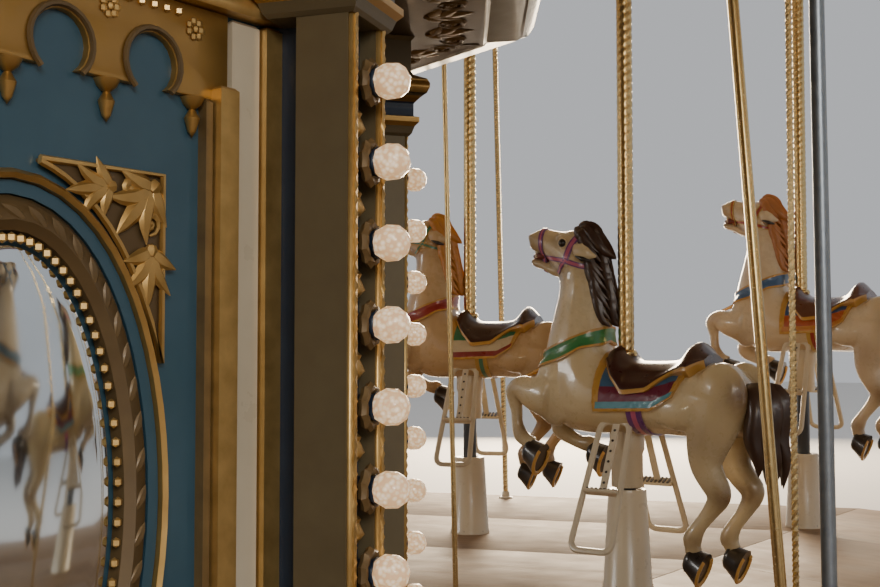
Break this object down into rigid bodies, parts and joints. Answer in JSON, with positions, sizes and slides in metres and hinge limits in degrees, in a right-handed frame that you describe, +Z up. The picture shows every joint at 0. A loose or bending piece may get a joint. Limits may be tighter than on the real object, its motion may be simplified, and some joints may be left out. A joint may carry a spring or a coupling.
{
  "type": "fairground carousel",
  "caption": "Round carousel: leaping horses on poles in rows, planked deck, mirrored centre housing, sweeps, hanger rods and a sided canopy.",
  "frame": {"origin": "on the ground, on the axis that the ride turns about", "axes": "+Z up; the first inner horse stands towards +Y and heads towards -X"},
  "size_m": [10.58, 11.1244, 5.2306],
  "materials": {
    "horse_gloss": "glossy ivory glass fibre, airbrushed brown in the creases",
    "deck_planks": "warm tan planks, worn satin",
    "dark_steel": "satin blue-grey paint",
    "navy_paint": "painted boards, satin dark teal-navy",
    "gold_paint": "painted and gilded carving, satin antique gold",
    "red_paint": "painted boards, gloss burgundy",
    "cream_paint": "painted boards, gloss cream",
    "brass": "polished, slightly tarnished, fine twist",
    "mirror": "bevelled mirror",
    "lamp_glass": "ribbed clear lamp",
    "roof_panels": "striped glass-fibre panels, satin"
  },
  "bodies": {
    "base": {"ground_sills": "dark_steel", "mast": "dark_steel"},
    "turntable": {"inner_deck": "deck_planks", "middle_deck": "deck_planks", "outer_deck": "deck_planks", "deck_frame": "dark_steel", "rim_skirt": "red_paint", "plinth_ring": "navy_paint", "mirror_panels": "navy_paint", "column_ring": "gold_paint", "crown_board": "gold_paint", "upper_drum": "navy_paint", "sweeps": "dark_steel", "aisle_hangers": "brass", "inner_hangers": "brass", "outer_hangers": "brass", "ceiling_ring_1": "cream_paint", "ceiling_ring_2": "cream_paint", "ceiling_ring_3": "cream_paint", "ceiling_ring_4": "cream_paint", "rounding_boards": "red_paint", "canopy_roof": "roof_panels", "finial": "gold_paint"},
    "inner_horse_1": {"inner_horse_1": "horse_gloss"},
    "inner_horse_2": {"inner_horse_2": "horse_gloss"},
    "inner_horse_3": {"inner_horse_3": "horse_gloss"},
    "inner_horse_4": {"inner_horse_4": "horse_gloss"},
    "inner_horse_5": {"inner_horse_5": "horse_gloss"},
    "inner_horse_6": {"inner_horse_6": "horse_gloss"},
    "inner_horse_7": {"inner_horse_7": "horse_gloss"},
    "inner_horse_8": {"inner_horse_8": "horse_gloss"},
    "inner_horse_9": {"inner_horse_9": "horse_gloss"},
    "inner_horse_10": {"inner_horse_10": "horse_gloss"},
    "middle_horse_1": {"middle_horse_1": "horse_gloss"},
    "middle_horse_2": {"middle_horse_2": "horse_gloss"},
    "middle_horse_3": {"middle_horse_3": "horse_gloss"},
    "middle_horse_4": {"middle_horse_4": "horse_gloss"},
    "middle_horse_5": {"middle_horse_5": "horse_gloss"},
    "middle_horse_6": {"middle_horse_6": "horse_gloss"},
    "middle_horse_7": {"middle_horse_7": "horse_gloss"},
    "middle_horse_8": {"middle_horse_8": "horse_gloss"},
    "middle_horse_9": {"middle_horse_9": "horse_gloss"},
    "middle_horse_10": {"middle_horse_10": "horse_gloss"},
    "outer_horse_1": {"outer_horse_1": "horse_gloss"},
    "outer_horse_2": {"outer_horse_2": "horse_gloss"},
    "outer_horse_3": {"outer_horse_3": "horse_gloss"},
    "outer_horse_4": {"outer_horse_4": "horse_gloss"},
    "outer_horse_5": {"outer_horse_5": "horse_gloss"},
    "outer_horse_6": {"outer_horse_6": "horse_gloss"},
    "outer_horse_7": {"outer_horse_7": "horse_gloss"},
    "outer_horse_8": {"outer_horse_8": "horse_gloss"},
    "outer_horse_9": {"outer_horse_9": "horse_gloss"},
    "outer_horse_10": {"outer_horse_10": "horse_gloss"}
  },
  "joints": [
    {"name": "turntable_spin", "type": "hinge", "parent": "base", "child": "turntable", "pos_m": [0, 0, 0], "axis": [0, 0, 1], "continuous": true},
    {"name": "inner_horse_1_lift", "type": "slide", "parent": "turntable", "child": "inner_horse_1", "axis": [0, 0, 1], "range_m": [0, 0.26]},
    {"name": "inner_horse_2_lift", "type": "slide", "parent": "turntable", "child": "inner_horse_2", "axis": [0, 0, 1], "range_m": [-0.19, 0.07]},
    {"name": "inner_horse_3_lift", "type": "slide", "parent": "turntable", "child": "inner_horse_3", "axis": [0, 0, 1], "range_m": [-0.06, 0.2]},
    {"name": "inner_horse_4_lift", "type": "slide", "parent": "turntable", "child": "inner_horse_4", "axis": [0, 0, 1], "range_m": [-0.24, 0.02]},
    {"name": "inner_horse_5_lift", "type": "slide", "parent": "turntable", "child": "inner_horse_5", "axis": [0, 0, 1], "range_m": [-0.12, 0.14]},
    {"name": "inner_horse_6_lift", "type": "slide", "parent": "turntable", "child": "inner_horse_6", "axis": [0, 0, 1], "range_m": [0, 0.26]},
    {"name": "inner_horse_7_lift", "type": "slide", "parent": "turntable", "child": "inner_horse_7", "axis": [0, 0, 1], "range_m": [-0.19, 0.07]},
    {"name": "inner_horse_8_lift", "type": "slide", "parent": "turntable", "child": "inner_horse_8", "axis": [0, 0, 1], "range_m": [-0.06, 0.2]},
    {"name": "inner_horse_9_lift", "type": "slide", "parent": "turntable", "child": "inner_horse_9", "axis": [0, 0, 1], "range_m": [-0.24, 0.02]},
    {"name": "inner_horse_10_lift", "type": "slide", "parent": "turntable", "child": "inner_horse_10", "axis": [0, 0, 1], "range_m": [-0.12, 0.14]},
    {"name": "middle_horse_1_lift", "type": "slide", "parent": "turntable", "child": "middle_horse_1", "axis": [0, 0, 1], "range_m": [-0.15, 0.11]},
    {"name": "middle_horse_2_lift", "type": "slide", "parent": "turntable", "child": "middle_horse_2", "axis": [0, 0, 1], "range_m": [-0.03, 0.23]},
    {"name": "middle_horse_3_lift", "type": "slide", "parent": "turntable", "child": "middle_horse_3", "axis": [0, 0, 1], "range_m": [-0.215, 0.045]},
    {"name": "middle_horse_4_lift", "type": "slide", "parent": "turntable", "child": "middle_horse_4", "axis": [0, 0, 1], "range_m": [-0.09, 0.17]},
    {"name": "middle_horse_5_lift", "type": "slide", "parent": "turntable", "child": "middle_horse_5", "axis": [0, 0, 1], "range_m": [-0.24, 0.02]},
    {"name": "middle_horse_6_lift", "type": "slide", "parent": "turntable", "child": "middle_horse_6", "axis": [0, 0, 1], "range_m": [-0.15, 0.11]},
    {"name": "middle_horse_7_lift", "type": "slide", "parent": "turntable", "child": "middle_horse_7", "axis": [0, 0, 1], "range_m": [-0.03, 0.23]},
    {"name": "middle_horse_8_lift", "type": "slide", "parent": "turntable", "child": "middle_horse_8", "axis": [0, 0, 1], "range_m": [-0.215, 0.045]},
    {"name": "middle_horse_9_lift", "type": "slide", "parent": "turntable", "child": "middle_horse_9", "axis": [0, 0, 1], "range_m": [-0.09, 0.17]},
    {"name": "middle_horse_10_lift", "type": "slide", "parent": "turntable", "child": "middle_horse_10", "axis": [0, 0, 1], "range_m": [-0.24, 0.02]},
    {"name": "outer_horse_1_lift", "type": "slide", "parent": "turntable", "child": "outer_horse_1", "axis": [0, 0, 1], "range_m": [-0.255, 0.005]},
    {"name": "outer_horse_2_lift", "type": "slide", "parent": "turntable", "child": "outer_horse_2", "axis": [0, 0, 1], "range_m": [-0.075, 0.185]},
    {"name": "outer_horse_3_lift", "type": "slide", "parent": "turntable", "child": "outer_horse_3", "axis": [0, 0, 1], "range_m": [-0.165, 0.095]},
    {"name": "outer_horse_4_lift", "type": "slide", "parent": "turntable", "child": "outer_horse_4", "axis": [0, 0, 1], "range_m": [-0.02, 0.24]},
    {"name": "outer_horse_5_lift", "type": "slide", "parent": "turntable", "child": "outer_horse_5", "axis": [0, 0, 1], "range_m": [-0.205, 0.055]},
    {"name": "outer_horse_6_lift", "type": "slide", "parent": "turntable", "child": "outer_horse_6", "axis": [0, 0, 1], "range_m": [-0.255, 0.005]},
    {"name": "outer_horse_7_lift", "type": "slide", "parent": "turntable", "child": "outer_horse_7", "axis": [0, 0, 1], "range_m": [-0.075, 0.185]},
    {"name": "outer_horse_8_lift", "type": "slide", "parent": "turntable", "child": "outer_horse_8", "axis": [0, 0, 1], "range_m": [-0.165, 0.095]},
    {"name": "outer_horse_9_lift", "type": "slide", "parent": "turntable", "child": "outer_horse_9", "axis": [0, 0, 1], "range_m": [-0.02, 0.24]},
    {"name": "outer_horse_10_lift", "type": "slide", "parent": "turntable", "child": "outer_horse_10", "axis": [0, 0, 1], "range_m": [-0.205, 0.055]}
  ]
}
